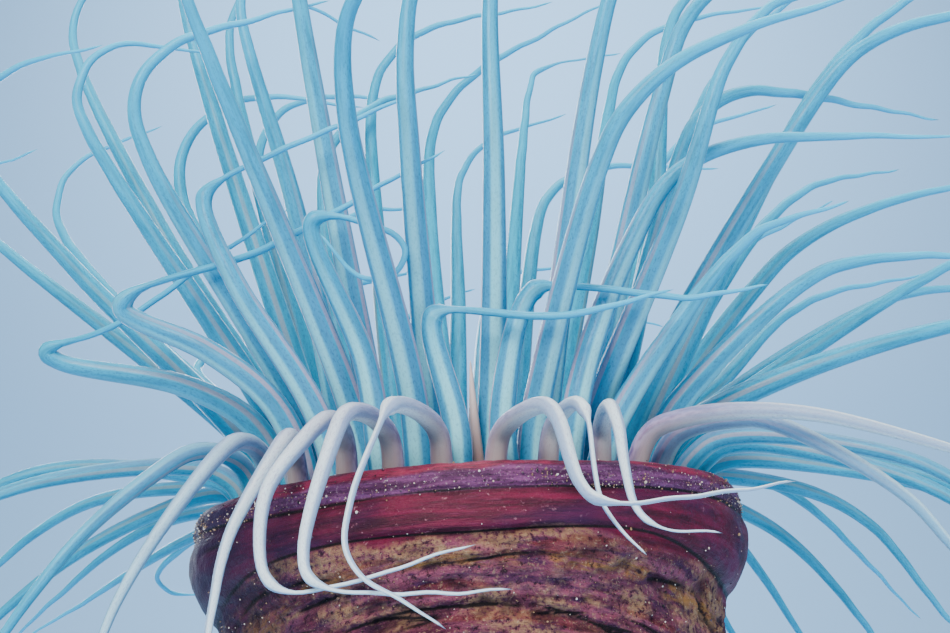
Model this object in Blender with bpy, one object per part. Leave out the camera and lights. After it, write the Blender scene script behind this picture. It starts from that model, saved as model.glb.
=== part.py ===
"""Tube-dwelling anemone, life size, standing in its felt tube.

Metres, +Z up. The origin is the middle of the tube's flat foot, on the floor.
The front, towards -Y, is the side on which the outer tentacles hang over the tube's lip.
A bearing is counted from the front, in degrees, and grows towards +X.
The lengths below are millimetres, and metres() turns them to metres as the meshes are made.
"""
import math
import random

import bmesh
import bpy
import numpy as np
from mathutils import Vector

# ---- The tube -----------------------------------------------------------------------------------
RIM_HEIGHT = 170.0        # highest line of the lip
LIP_RADIUS = 43.3         # widest line of the rolled lip
TUBE_RADIUS = 37.4        # outside of the felt below the lip
TUBE_BORE = 35.0          # inside of the felt
MOUTH_BORE = 36.6         # inside of the lip, round the crown
CROWN_FLOOR = 157.0       # underside of the crown of tentacles
FOOT_RADIUS = 43.0        # the foot spreads a little where it stands
FOOT_THICKNESS = 4.0
FOOT_TOP, MIDDLE_CUT, LIP_CUT = 44.0, 98.0, 150.0     # heights of the cuts between the tube's lengths
TUBE_SIDES = 24
LEAN = 3.5                # degrees by which the rim leans towards -X
LEAN_FROM, LEAN_TO = 60.0, 165.0
OUT_OF_ROUND = 0.014
FOLD_DEPTH, FOLD_PITCH = 0.8, 21.0
GAP = 0.3                 # the thin cut between neighbours

# The lip in section: radius, height. It rises from the tube, rolls out and turns back in at the top.
LIP_OUTSIDE = ((38.2, LIP_CUT), (39.4, 153.0), (41.9, 156.6), (LIP_RADIUS, 161.0), (43.0, 164.6),
               (42.1, 166.4), (42.2, 168.2), (40.4, RIM_HEIGHT))
LIP_INSIDE = ((38.4, 168.6), (MOUTH_BORE, 163.6), (MOUTH_BORE, CROWN_FLOOR), (35.4, LIP_CUT))

# ---- The body in the tube -----------------------------------------------------------------------
COLUMN = ((15.0, 8.5), (26.0, 14.0), (32.0, 30.0), (33.6, 90.0), (34.0, 148.0), (35.8, 156.7))
COLUMN_SIDES = 20
DISC_TOP = 162.0
LABIAL_RADIUS, LABIAL_IN, LABIAL_OUT = 11.6, 7.9, 15.5
LABIAL_COUNT, LABIAL_ARCS = 16, 4
LABIAL_LENGTH, LABIAL_THICKNESS = 17.0, 1.7
DISC_DIP, DISC_SIDES = 0.6, 20
MOUTH_LENGTH, MOUTH_WIDTH, MOUTH_DEPTH, MOUTH_SIDES = 8.5, 2.6, 2.4, 10

# ---- The tentacles ------------------------------------------------------------------------------
# One line per row, outermost first: name, radius, count, bearing of the first, height of the root,
# thickness at the root, elevation that the row settles at, usual length.
ROWS = (
    ("outer", 33.2, 34, 5.5, 162.6, 3.5, -6.0, 92.0),
    ("second", 28.2, 22, -4.0, 163.2, 4.4, 38.0, 106.0),
    ("third", 23.2, 18, 4.0, 163.8, 4.6, 57.0, 117.0),
    ("inner", 18.2, 16, 8.0, 164.4, 4.5, 73.0, 124.0),
)
# The outer row stands wider apart at the front. From the front towards +X: how many tentacles stand
# in each stretch, and over how many degrees.
OUTER_STRETCHES = ((5, 64.3), (22, 205.7), (7, 90.0))
ROW_HALF_WIDTH = 2.5
TAPER = 0.86              # share of the root's thickness that is gone at the tip
TAPER_POWER = 1.4         # above 1, a tentacle stays thick for longer
SLIM = {(2, 0): 0.66}     # by (row, number): a tentacle that is thinner than its row's
TENTACLE_SIDES = 5
SKIN_ALLOWANCE = 1.1      # a five-sided tube is this much wider than the round one it stands for
STEPS = 36                # points worked out along each tentacle
# How far the facets may stray from the tentacle's line, at its root and at its tip.
FLATNESS, TIP_FLATNESS = 0.54, 1.26
ROOT_DEPTH = 1.4          # how deep a tentacle's root sits in its block

# Tentacles posed one by one: (row, place) with place counted from the front, positive towards +X.
# Each has its length, the headings (elevation, bearing) that it takes one after another, and the
# bends between them: where along the tentacle, and how long the bend is, as shares of its length.
POSED = {
    # hanging over the lip at the front left
    (0, -1): (66, ((84, 0), (2, -26), (-74, -50), (-30, 72)), ((0.20, 0.16), (0.42, 0.16), (0.76, 0.12))),
    (0, -2): (78, ((84, 0), (0, -20), (-76, -50), (0, 80)), ((0.17, 0.14), (0.36, 0.14), (0.66, 0.14))),
    (0, -3): (80, ((84, 0), (0, -5), (-52, -72), (-80, 0), (12, 80)),
              ((0.17, 0.14), (0.34, 0.14), (0.50, 0.12), (0.66, 0.14))),
    (0, -4): (70, ((82, 0), (0, -2), (-60, -65), (-85, -50), (-20, 70)),
              ((0.18, 0.16), (0.36, 0.14), (0.62, 0.20), (0.92, 0.08))),
    (0, -5): (84, ((80, 0), (0, -15), (-54, -76), (-72, -65), (-70, 0)),
              ((0.16, 0.14), (0.32, 0.14), (0.58, 0.20), (0.90, 0.16))),
    (0, -6): (90, ((78, -10), (4, -34), (-40, -80), (-56, -75), (-8, 80)),
              ((0.15, 0.14), (0.28, 0.14), (0.50, 0.20), (0.76, 0.08))),
    (0, -7): (96, ((74, -60), (-6, -75), (-26, -80), (20, 60), (60, 80)),
              ((0.15, 0.16), (0.45, 0.30), (0.72, 0.12), (0.88, 0.10))),
    # hanging over the lip at the front right
    (0, 1): (68, ((84, 10), (2, 25), (-70, 52), (6, 85)), ((0.18, 0.16), (0.41, 0.14), (0.62, 0.12))),
    (0, 2): (50, ((84, 20), (0, 15), (-80, 45), (-45, 75)), ((0.26, 0.20), (0.54, 0.18), (0.84, 0.14))),
    (0, 3): (54, ((84, 0), (0, 5), (-74, 50), (-5, 82)), ((0.24, 0.18), (0.50, 0.16), (0.82, 0.10))),
    (0, 4): (84, ((80, 30), (2, 58), (-18, 76), (-6, 88)), ((0.16, 0.14), (0.40, 0.30), (0.84, 0.20))),
    (0, 5): (90, ((78, 40), (0, 50), (-32, 78), (-50, 85), (0, 90)),
             ((0.15, 0.14), (0.32, 0.16), (0.55, 0.20), (0.82, 0.12))),
    # upright at the front, their thin ends carried off by the current
    (1, 0): (66, ((84, 0), (74, -80), (-3, 78), (10, 86)), ((0.20, 0.20), (0.46, 0.05), (0.75, 0.20))),
    (1, -1): (80, ((78, -40), (67, -85), (6, 84), (-70, 95), (-10, -70)),
              ((0.24, 0.20), (0.58, 0.04), (0.78, 0.14), (0.92, 0.10))),
    (1, -2): (92, ((76, -50), (52, -85), (66, -85), (24, 80)), ((0.20, 0.20), (0.40, 0.20), (0.60, 0.04))),
    (1, -3): (104, ((74, -60), (36, -85), (24, -90), (14, 75), (24, 75)),
              ((0.20, 0.20), (0.36, 0.20), (0.48, 0.04), (0.70, 0.20))),
    (1, -4): (100, ((72, -70), (26, -86), (8, -90), (6, 75), (30, 75)),
              ((0.20, 0.20), (0.36, 0.20), (0.55, 0.04), (0.64, 0.10))),
    (1, 1): (68, ((84, -20), (70, 60), (-6, 85), (14, 85)), ((0.20, 0.20), (0.50, 0.10), (0.84, 0.20))),
    (1, 2): (98, ((80, 0), (66, 80), (58, 80), (2, 90)), ((0.20, 0.20), (0.40, 0.20), (0.60, 0.24))),
    (1, 3): (66, ((78, 20), (60, 80), (52, 80), (14, 88)), ((0.20, 0.20), (0.40, 0.20), (0.76, 0.25))),
    (1, 4): (80, ((76, 60), (46, 80), (40, 82), (2, 90)), ((0.20, 0.20), (0.40, 0.20), (0.64, 0.25))),
    (1, 5): (100, ((74, 70), (26, 80), (14, 85), (0, 90)), ((0.15, 0.20), (0.40, 0.30), (0.70, 0.30))),
    # a young one, short and still straight
    (2, 0): (24, ((84, 0), (82, -50)), ((0.50, 0.30),)),
}
SEEDS = (91, 12, 13, 24)  # of the small differences between the other tentacles, for each row

# ---- Keeping the tentacles clear of each other and of the lip -----------------------------------
SPREAD_ROUNDS = 160
PAIRS_HOLD_FOR = 8        # rounds before the near pairs are looked up again
PAIR_MARGIN = 3.0
CLEARANCE = 1.0
FIXED_POINTS = 1          # a tentacle's first points stay where its root puts them
LARGEST_STEP = 0.5
# the two rolls of the lip: radius and height of the middle, thickness, and where the roll begins to count
LIP_ROLLS = ((38.4, 161.0, 5.2, 37.5), (40.0, 166.2, 4.0, 0.0))


def metres(point):
    return Vector([0.001 * float(c) for c in point])


def heading(elevation, bearing):
    e, b = math.radians(elevation), math.radians(bearing)
    return np.array([math.cos(e) * math.sin(b), -math.cos(e) * math.cos(b), math.sin(e)])


def ease(t):
    t = min(max(t, 0.0), 1.0)
    return t * t * (3 - 2 * t)


def turned(a, b, t):
    """The direction a share t of the way from a to b, along the shortest arc."""
    angle = math.acos(float(np.clip(a @ b, -1, 1)))
    if angle < 1e-5:
        return a
    return (math.sin((1 - t) * angle) * a + math.sin(t * angle) * b) / math.sin(angle)


def leaned(point):
    """Carries a point of the upright model over to the model whose upper half leans."""
    slices = 24
    heights = np.linspace(0, point[2], slices + 1)
    angles = np.array([math.radians(LEAN) * ease((h - LEAN_FROM) / (LEAN_TO - LEAN_FROM)) for h in heights])
    middles = (angles[1:] + angles[:-1]) / 2
    x = -float(np.sum(np.sin(middles))) * point[2] / slices
    z = float(np.sum(np.cos(middles))) * point[2] / slices
    last = angles[-1]
    return np.array([x + point[0] * math.cos(last), point[1], z + point[0] * math.sin(last)])


def around(radius, bearing, height):
    """A point of the leaning model, given in the upright one."""
    b = math.radians(bearing)
    return leaned((radius * math.sin(b), -radius * math.cos(b), height))


# ---- The lines of the tentacles -----------------------------------------------------------------
def cell_edges(row):
    """The bearings between which a row's tentacles stand, one more than there are tentacles."""
    if row == 0:
        widths = [degrees / count for count, degrees in OUTER_STRETCHES for _ in range(count)]
        return np.concatenate([[0], np.cumsum(widths)])
    count, first_bearing = ROWS[row][2:4]
    return first_bearing + (np.arange(count + 1) - 0.5) * 360 / count


def tentacle_line(row, bearing, length, headings, bends):
    radius, root_height = ROWS[row][1], ROWS[row][4]
    ways = [heading(*h) for h in headings]
    points = [around(radius, bearing, root_height)]
    for step in range(STEPS):
        share = (step + 0.5) / STEPS
        way = ways[0]
        for (place, width), next_way in zip(bends, ways[1:]):
            way = turned(way, next_way, ease((share - place) / width + 0.5))
        points.append(points[-1] + way * length / STEPS)
    return np.array(points)


def usual_pose(row, bearing, chance):
    """Leans out by its row's elevation, and its end is carried towards +X by the current."""
    settled, length = ROWS[row][6:8]
    to_the_right = math.sin(math.radians(bearing))
    to_the_back = -math.cos(math.radians(bearing))
    length *= chance.uniform(0.88, 1.15)
    if row == 0:
        return hanging_pose(settled, bearing, length, chance)
    first = (settled + chance.uniform(-7, 7), bearing + chance.uniform(-6, 6))
    second = (first[0] + chance.uniform(-5, 10), first[1] + chance.uniform(-9, 9))
    last = (chance.uniform(-14, 28), 90 + chance.uniform(-28, 28))
    if to_the_right < -0.3 or to_the_back > 0.3:
        last_bend = (chance.uniform(0.70, 0.88), chance.choice((0.06, 0.28, 0.36)))
    else:
        last_bend = (chance.uniform(0.60, 0.78), chance.uniform(0.30, 0.45))
    root = (max(72.0, settled), bearing)
    return length, (root, first, second, last), ((0.15, 0.20), (0.45, 0.30), last_bend)


def hanging_pose(settled, bearing, length, chance):
    """Arches over the lip and sinks, more or less from one to the next."""
    first = (settled + chance.uniform(-16, 16), bearing + chance.uniform(-5, 5))
    second = (first[0] - chance.uniform(8, 44), first[1] + chance.uniform(-6, 6))
    if chance.random() < 0.4:
        last = (chance.uniform(-25, 15), 90 + chance.uniform(-20, 20))
        last_bend = (chance.uniform(0.74, 0.88), chance.choice((0.08, 0.20)))
    else:
        last = (second[0] - chance.uniform(-10, 20), second[1] + chance.uniform(-20, 20))
        last_bend = (chance.uniform(0.70, 0.80), 0.30)
    return length, ((74.0, bearing), first, second, last), ((0.14, 0.20), (0.48, 0.36), last_bend)


def all_lines():
    """Every tentacle as (row, number in the row, its line)."""
    lines = []
    for row, (_, _, count, *_) in enumerate(ROWS):
        chance = random.Random(SEEDS[row])
        edges = cell_edges(row)
        for number in range(count):
            bearing = (edges[number] + edges[number + 1]) / 2
            place = number if number <= count / 2 else number - count
            if row == 0 and place >= 0:
                place += 1
            usual = usual_pose(row, bearing, chance)
            lines.append((row, number, tentacle_line(row, bearing, *POSED.get((row, place), usual))))
    return lines


def thickness_along(row, number, count):
    return ROWS[row][5] * SLIM.get((row, number), 1) * (1 - TAPER * np.linspace(0, 1, count) ** TAPER_POWER)


def nearest_between(a0, a1, b0, b1):
    """Where each segment a comes nearest to its segment b: both shares along, and the offset."""
    u, v, w = a1 - a0, b1 - b0, a0 - b0
    uu, vv, uv = (u * u).sum(1), (v * v).sum(1), (u * v).sum(1)
    uw, vw = (u * w).sum(1), (v * w).sum(1)
    spread = np.maximum(uu * vv - uv * uv, 1e-9)
    s = np.clip((uv * vw - vv * uw) / spread, 0, 1)
    t = np.clip((uv * s + vw) / vv, 0, 1)
    s = np.clip((uv * t - uw) / uu, 0, 1)
    return s, t, (a0 + u * s[:, None]) - (b0 + v * t[:, None])


def push_off_lip(points, reach):
    """Moves the points out of the lip and the tube, each by its own reach, in the leaning model."""
    lean = math.radians(LEAN)
    axis_top = leaned((0, 0, RIM_HEIGHT))
    across = np.array([math.cos(lean), 0, math.sin(lean)])
    upward = np.array([-math.sin(lean), 0, math.cos(lean)])
    offset = points - axis_top
    x, y, z = offset @ across, offset[..., 1], offset @ upward + RIM_HEIGHT
    radius = np.hypot(x, y)
    moved_radius, moved_z = radius.copy(), z.copy()
    for ring_radius, ring_height, thick, from_radius in LIP_ROLLS:
        dr, dz = moved_radius - ring_radius, moved_z - ring_height
        far = np.maximum(np.hypot(dr, dz), 1e-6)
        inside = np.where(moved_radius > from_radius, np.maximum(thick + reach - far, 0), 0)
        moved_radius += dr / far * inside
        moved_z += dz / far * inside
    low = moved_z < 158.0
    moved_radius = np.where(low, np.maximum(moved_radius, TUBE_RADIUS + 2.2 + reach), moved_radius)
    scale = moved_radius / np.maximum(radius, 1e-6)
    return (axis_top + (x * scale)[..., None] * across + (y * scale)[..., None] * np.array([0, 1, 0])
            + (moved_z - RIM_HEIGHT)[..., None] * upward)


def close_pairs(starts, ends, reach, owner, place, margin):
    """Pairs of segments that may come near each other, leaving out a tentacle's own neighbours."""
    middles = ((starts + ends) / 2).astype(np.float32)
    squares = (middles * middles).sum(1)
    apart = squares[:, None] + squares[None] - 2 * middles @ middles.T
    room = (reach + np.linalg.norm(ends - starts, axis=1) / 2 + margin / 2).astype(np.float32)
    first, second = np.nonzero(np.triu(apart < (room[:, None] + room[None]) ** 2, 1))
    between = np.abs(place[first] - place[second])
    along = between * np.linalg.norm(ends - starts, axis=1)[first]
    far_along = (along > 4 * (reach[first] + reach[second])) & (between > 2)
    other = (owner[first] != owner[second]) | far_along
    return first[other], second[other]


def spread_out(lines):
    """Eases crossing tentacles apart, a little at a time, without stretching them."""
    points = np.array([line for _, _, line in lines])
    thickness = np.array([thickness_along(row, number, STEPS + 1) for row, number, _ in lines])
    reach = thickness / 2 * SKIN_ALLOWANCE
    steps = np.linalg.norm(np.diff(points, axis=1), axis=2)
    drawn = points.copy()
    freedom = np.array([ease((k - FIXED_POINTS) / 5) for k in range(STEPS + 1)])
    owner = np.repeat(np.arange(len(lines)), STEPS)
    place = np.tile(np.arange(STEPS), len(lines))
    segment_reach = ((reach[:, 1:] + reach[:, :-1]) / 2).ravel()
    for turn in range(SPREAD_ROUNDS):
        starts, ends = points[:, :-1].reshape(-1, 3), points[:, 1:].reshape(-1, 3)
        if turn % PAIRS_HOLD_FOR == 0:
            near = close_pairs(starts, ends, segment_reach, owner, place, CLEARANCE + PAIR_MARGIN)
        first, second = near
        s, t, offset = nearest_between(starts[first], ends[first], starts[second], ends[second])
        distance = np.maximum(np.linalg.norm(offset, axis=1), 1e-6)
        missing = segment_reach[first] + segment_reach[second] + CLEARANCE - distance
        keep = missing > 0
        first, second, s, t = first[keep], second[keep], s[keep], t[keep]
        push = offset[keep] / distance[keep, None] * missing[keep, None] / 2
        shift = np.zeros_like(points)
        for segment, share, way in ((first, s, push), (second, t, -push)):
            np.add.at(shift, (owner[segment], place[segment]), way * (1 - share)[:, None])
            np.add.at(shift, (owner[segment], place[segment] + 1), way * share[:, None])
        size = np.linalg.norm(shift, axis=2, keepdims=True)
        shift *= np.minimum(1, LARGEST_STEP / np.maximum(size, 1e-9))
        for _ in range(2):
            shift[:, 1:-1] = (shift[:, :-2] + 2 * shift[:, 1:-1] + shift[:, 2:]) / 4
        points = points + 1.5 * shift * freedom[None, :, None]
        cleared = push_off_lip(points, reach + CLEARANCE)
        drift = points + (cleared - points) * (freedom > 0)[None, :, None] - drawn
        drift[:, 1:-1] = (drift[:, :-2] + 2 * drift[:, 1:-1] + drift[:, 2:]) / 4
        points = drawn + drift
        for k in range(STEPS):
            way = points[:, k + 1] - points[:, k]
            way /= np.linalg.norm(way, axis=1)[:, None]
            points[:, k + 1] = points[:, k] + way * steps[:, k, None]
    return [(row, number, points[i]) for i, (row, number, _) in enumerate(lines)]


def needed_rings(line, first, last):
    """The points between first and last that the faceted tube needs to follow the line."""
    way = line[last] - line[first]
    way = way / max(np.linalg.norm(way), 1e-9)
    offset = line[first:last + 1] - line[first]
    stray = np.linalg.norm(offset - np.outer(offset @ way, way), axis=1)
    worst = int(np.argmax(stray))
    if stray[worst] <= FLATNESS + (TIP_FLATNESS - FLATNESS) * (first + worst) / STEPS:
        return [first, last]
    return needed_rings(line, first, first + worst)[:-1] + needed_rings(line, first + worst, last)


# ---- Meshes -------------------------------------------------------------------------------------
def mesh_object(name, mesh, material):
    thing = bpy.data.objects.new(name, mesh)
    bpy.context.scene.collection.objects.link(thing)
    mesh.materials.append(material)
    return thing


def material_of(name, colour, roughness):
    material = bpy.data.materials.new(name)
    material.use_nodes = True
    shader = material.node_tree.nodes["Principled BSDF"]
    shader.inputs["Base Color"].default_value = (*colour, 1)
    shader.inputs["Roughness"].default_value = roughness
    shader.inputs["Metallic"].default_value = 0.0
    material.diffuse_color = (*colour, 1)
    return material


def loft(rings, name, closed_section=False):
    """A mesh through the rings: capped at both ends, or a shell whose last ring joins the first."""
    bm = bmesh.new()
    loops = [[bm.verts.new(metres(p)) for p in ring] for ring in rings]
    pairs = list(zip(loops, loops[1:]))
    if closed_section:
        pairs.append((loops[-1], loops[0]))
    for low, high in pairs:
        for k in range(len(low)):
            n = (k + 1) % len(low)
            bm.faces.new((low[k], low[n], high[n], high[k]))
    if not closed_section:
        bm.faces.new(list(reversed(loops[0])))
        bm.faces.new(loops[-1])
    bmesh.ops.recalc_face_normals(bm, faces=bm.faces)
    mesh = bpy.data.meshes.new(name)
    bm.to_mesh(mesh)
    bm.free()
    return mesh


def round_ring(radius, height, sides):
    """A level ring of the upright model, carried over to the leaning one."""
    return [around(radius, k * 360 / sides, height) for k in range(sides)]


def felt_radius(bearing, height, radius):
    """The felt is a little out of round, and has low folds that run round it."""
    b = math.radians(bearing)
    fold = FOLD_DEPTH * math.sin(2 * math.pi * height / FOLD_PITCH + 1.5 * math.sin(b + 1))
    fold *= ease(height / 20) * ease((RIM_HEIGHT - 14 - height) / 10)
    oval = OUT_OF_ROUND * (math.sin(2 * b + 0.6) + 0.5 * math.sin(3 * b + height / 30))
    oval *= 1 - ease((height - 100) / 60)
    return radius * (1 + oval) + fold


def outside_radius(height):
    """The foot spreads, and the tube narrows a little halfway up."""
    foot = (FOOT_RADIUS - TUBE_RADIUS) * (1 - ease(height / 34))
    waist = 0.6 * math.sin(math.pi * ease((height - 20) / 130))
    return TUBE_RADIUS + foot - waist


def felt_ring(height, radius=None):
    middle = outside_radius(height) if radius is None else radius
    bearings = [k * 360 / TUBE_SIDES for k in range(TUBE_SIDES)]
    return [around(felt_radius(b, height, middle), b, height) for b in bearings]


def bore_ring(radius, height):
    return round_ring(radius, height, TUBE_SIDES)


def make_tube(felt, lip_felt):
    mesh_object("tube_sole", loft([felt_ring(h) for h in (0, FOOT_THICKNESS - GAP / 2)], "tube_sole"), felt)
    foot_heights = (FOOT_THICKNESS + GAP / 2, 9, 19, 31, FOOT_TOP - GAP / 2)
    rings = [felt_ring(h) for h in foot_heights]
    rings += [bore_ring(TUBE_BORE, foot_heights[-1]), bore_ring(TUBE_BORE, foot_heights[0])]
    mesh_object("tube_foot", loft(rings, "tube_foot", closed_section=True), felt)
    for name, low, high in (("tube_lower", FOOT_TOP, MIDDLE_CUT), ("tube_upper", MIDDLE_CUT, LIP_CUT)):
        heights = np.linspace(low + GAP / 2, high - GAP / 2, 4)
        rings = [felt_ring(h) for h in heights]
        rings += [bore_ring(TUBE_BORE, heights[-1]), bore_ring(TUBE_BORE, heights[0])]
        mesh_object(name, loft(rings, name, closed_section=True), felt)
    rings = [felt_ring(h + (GAP / 2 if h == LIP_CUT else 0), r) for r, h in LIP_OUTSIDE]
    rings += [bore_ring(r, h + (GAP / 2 if h == LIP_CUT else 0)) for r, h in LIP_INSIDE]
    mesh_object("tube_lip", loft(rings, "tube_lip", closed_section=True), lip_felt)


def make_column(flesh):
    rings = [round_ring(r, h, COLUMN_SIDES) for r, h in COLUMN]
    mesh_object("column", loft(rings, "column"), flesh)


def arc_block(name, inner, outer, low, high, start, end):
    """A thick arc of the crown, from bearing start to end, with flat top and underside."""
    count = max(2, round((end - start) / 20))
    cut = math.degrees(GAP / 2 / ((inner + outer) / 2))
    rings = []
    for bearing in np.linspace(start + cut, end - cut, count + 1):
        rings.append([around(inner, bearing, low), around(outer, bearing, low),
                      around(outer, bearing, high), around(inner, bearing, high)])
    return loft(rings, name)


def tube_rings(line, thickness, sides):
    """Rings square to the line, turned as little as possible from one to the next."""
    tangents = np.gradient(line, axis=0)
    tangents /= np.linalg.norm(tangents, axis=1)[:, None]
    side = np.cross(tangents[0], (0.0, 1.0, 0.0))
    rings = []
    for point, tangent, wide in zip(line, tangents, thickness):
        side = side - tangent * (side @ tangent)
        side /= np.linalg.norm(side)
        other = np.cross(tangent, side)
        radius = wide / 2 * SKIN_ALLOWANCE
        turns = [2 * math.pi * k / sides for k in range(sides)]
        rings.append([point + radius * (math.cos(a) * side + math.sin(a) * other) for a in turns])
    return rings


def pointed_tube(line, thickness, sides, name, keep):
    """A tapering tube along the line; keep picks the rings that are built."""
    rings = tube_rings(line, thickness, sides)
    mesh = loft([rings[k] for k in keep], name)
    bm = bmesh.new()
    bm.from_mesh(mesh)
    tip = min(bm.faces, key=lambda face: (face.calc_center_median() - metres(line[-1])).length)
    bmesh.ops.poke(bm, faces=[tip])
    bm.to_mesh(mesh)
    bm.free()
    return mesh


def joined(block, tubes, name, material):
    """One body of a block and the tubes that grow from it."""
    body = mesh_object(name, block, material)
    guides = []
    for tube in tubes:
        guide = mesh_object(name + "_guide", tube, material)
        guide.hide_render = True
        guide.display_type = "WIRE"
        union = body.modifiers.new("union", "BOOLEAN")
        union.operation = "UNION"
        union.solver = "EXACT"
        union.object = guide
        guides.append(guide)
    whole = bpy.data.meshes.new_from_object(body.evaluated_get(bpy.context.evaluated_depsgraph_get()))
    body.modifiers.clear()
    body.data = whole
    for guide in guides:
        bpy.data.objects.remove(guide)
    return body


def make_tentacles(materials):
    """Each row's ring is cut into arcs, and each arc carries two neighbouring tentacles."""
    lines = {(row, number): line for row, number, line in spread_out(all_lines())}
    for row, (name, radius, count, _, root_height, *_) in enumerate(ROWS):
        edges = cell_edges(row)
        for pair in range(count // 2):
            node = f"tentacles_{name}_{pair + 1:02d}"
            block = arc_block(node, radius - ROW_HALF_WIDTH + GAP / 2, radius + ROW_HALF_WIDTH - GAP / 2,
                              CROWN_FLOOR, root_height, edges[2 * pair], edges[2 * pair + 2])
            tubes = []
            for number in (2 * pair, 2 * pair + 1):
                line = lines[row, number]
                root = line[0] - ROOT_DEPTH * (line[1] - line[0]) / np.linalg.norm(line[1] - line[0])
                keep = [0] + [k + 1 for k in needed_rings(line, 0, STEPS)[1:]]
                thickness = thickness_along(row, number, STEPS + 1)
                tubes.append(pointed_tube(np.vstack([root, line]), np.concatenate([thickness[:1], thickness]),
                                          TENTACLE_SIDES, node, keep))
            joined(block, tubes, node, materials[row])


def labial_line(bearing, length):
    """A labial tentacle stands up and leans in over the mouth."""
    line = [around(LABIAL_RADIUS, bearing, DISC_TOP - 1.0)]
    for step in range(6):
        way = turned(heading(80, bearing), heading(52, bearing + 180), ease(step / 5))
        line.append(line[-1] + way * length / 6)
    return np.array(line)


def make_disc(flesh, labial):
    chance = random.Random(SEEDS[1])
    per_arc = LABIAL_COUNT // LABIAL_ARCS
    pitch = 360 / LABIAL_COUNT
    for arc in range(LABIAL_ARCS):
        start = (arc * per_arc - 0.5) * pitch
        name = f"labial_tentacles_{arc + 1}"
        block = arc_block(name, LABIAL_IN, LABIAL_OUT, CROWN_FLOOR, DISC_TOP, start, start + per_arc * pitch)
        tubes = []
        for number in range(per_arc):
            line = labial_line(start + (number + 0.5) * pitch, LABIAL_LENGTH * chance.uniform(0.85, 1.1))
            thickness = LABIAL_THICKNESS * (1 - 0.6 * np.linspace(0, 1, len(line)))
            tubes.append(pointed_tube(line, thickness, 4, name, (0, 3, 6)))
        joined(block, tubes, name, labial)
    surface = DISC_TOP - DISC_DIP
    disc = loft([round_ring(LABIAL_IN - GAP, h, DISC_SIDES) for h in (CROWN_FLOOR, surface)], "oral_disc")
    body = mesh_object("oral_disc", disc, flesh)
    slit = []
    for height, size in ((surface - MOUTH_DEPTH, 0.55), (surface, 0.9), (surface + 1.5, 1.1)):
        half_length, half_width = MOUTH_LENGTH / 2 * size, MOUTH_WIDTH / 2 * size
        turns = [2 * math.pi * k / MOUTH_SIDES for k in range(MOUTH_SIDES)]
        slit.append([leaned((half_length * math.cos(a), half_width * math.sin(a), height)) for a in turns])
    cutter = mesh_object("mouth_cutter", loft(slit, "mouth_cutter"), flesh)
    cutter.hide_render = True
    cutter.display_type = "WIRE"
    cut = body.modifiers.new("mouth", "BOOLEAN")
    cut.operation = "DIFFERENCE"
    cut.solver = "EXACT"
    cut.object = cutter


def main():
    for thing in list(bpy.data.objects):
        bpy.data.objects.remove(thing)
    felt = material_of("brown_red_tube_felt", (0.16, 0.035, 0.03), 0.9)
    lip_felt = material_of("maroon_lip_felt", (0.11, 0.008, 0.03), 0.75)
    column_skin = material_of("column_skin", (0.45, 0.28, 0.30), 0.5)
    disc_skin = material_of("disc_skin", (0.50, 0.42, 0.45), 0.5)
    labial_skin = material_of("labial_tentacle_skin", (0.55, 0.40, 0.48), 0.4)
    row_skins = [material_of(f"tentacle_skin_{name}", colour, 0.35)
                 for (name, *_), colour in zip(ROWS, ((0.62, 0.55, 0.66), (0.55, 0.68, 0.78),
                                                      (0.42, 0.66, 0.76), (0.35, 0.64, 0.74)))]
    make_tube(felt, lip_felt)
    make_column(column_skin)
    make_disc(disc_skin, labial_skin)
    make_tentacles(row_skins)


main()
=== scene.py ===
# %% [markdown]
# # A tube-dwelling anemone as a museum model
#
# The animal stands in a leathery tube of felt that it has made itself. A wide crown of long, thin
# tentacles grows from the rim of its body, and a ring of short ones stands round its mouth.
# The solids that carry the model are loaded first and stay fixed. Over them go one continuous
# skin for the flesh, one for the felt tube, and the sand grains that cling to the felt.
# Lengths are millimetres while a piece is being made, and its last step turns them to metres.

# %% Load the fixed frame
import math
import random
from functools import reduce

import bmesh
import bpy
import numpy as np
from mathutils import Euler, Matrix, Vector, noise
from mathutils.geometry import delaunay_2d_cdt


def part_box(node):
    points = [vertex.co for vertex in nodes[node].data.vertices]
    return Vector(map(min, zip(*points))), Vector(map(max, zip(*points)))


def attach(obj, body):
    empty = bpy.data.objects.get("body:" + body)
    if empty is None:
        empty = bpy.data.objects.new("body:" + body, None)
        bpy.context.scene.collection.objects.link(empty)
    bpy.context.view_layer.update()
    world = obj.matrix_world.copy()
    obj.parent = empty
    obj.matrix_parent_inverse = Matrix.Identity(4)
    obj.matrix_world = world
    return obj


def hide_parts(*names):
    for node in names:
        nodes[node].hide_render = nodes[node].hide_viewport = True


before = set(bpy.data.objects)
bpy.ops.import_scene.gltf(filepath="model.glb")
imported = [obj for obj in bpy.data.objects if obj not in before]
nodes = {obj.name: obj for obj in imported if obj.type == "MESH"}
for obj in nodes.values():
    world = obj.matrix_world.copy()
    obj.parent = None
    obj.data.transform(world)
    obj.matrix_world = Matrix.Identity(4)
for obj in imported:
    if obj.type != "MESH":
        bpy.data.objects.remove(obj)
bpy.context.view_layer.update()
MM = 0.001

# %% [markdown]
# ## The camera and the studio
#
# The camera looks slightly up at the rim of the tube, as a diver does, so the crown fills the
# picture and the tube's foot lies below it. It is placed from the rim, because the rim is what
# the eye rests on. A pale floor runs up into a pale backdrop, and large soft lamps stand round
# the model: the skin scatters light, so a lamp behind it matters as much as the one in front.

# %% Place the camera
def new_object(name, data):
    thing = bpy.data.objects.new(name, data)
    bpy.context.scene.collection.objects.link(thing)
    return thing


def looking(direction):
    """The turn that points a camera or a lamp that way."""
    return direction.to_track_quat("-Z", "Y").to_euler()


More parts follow.
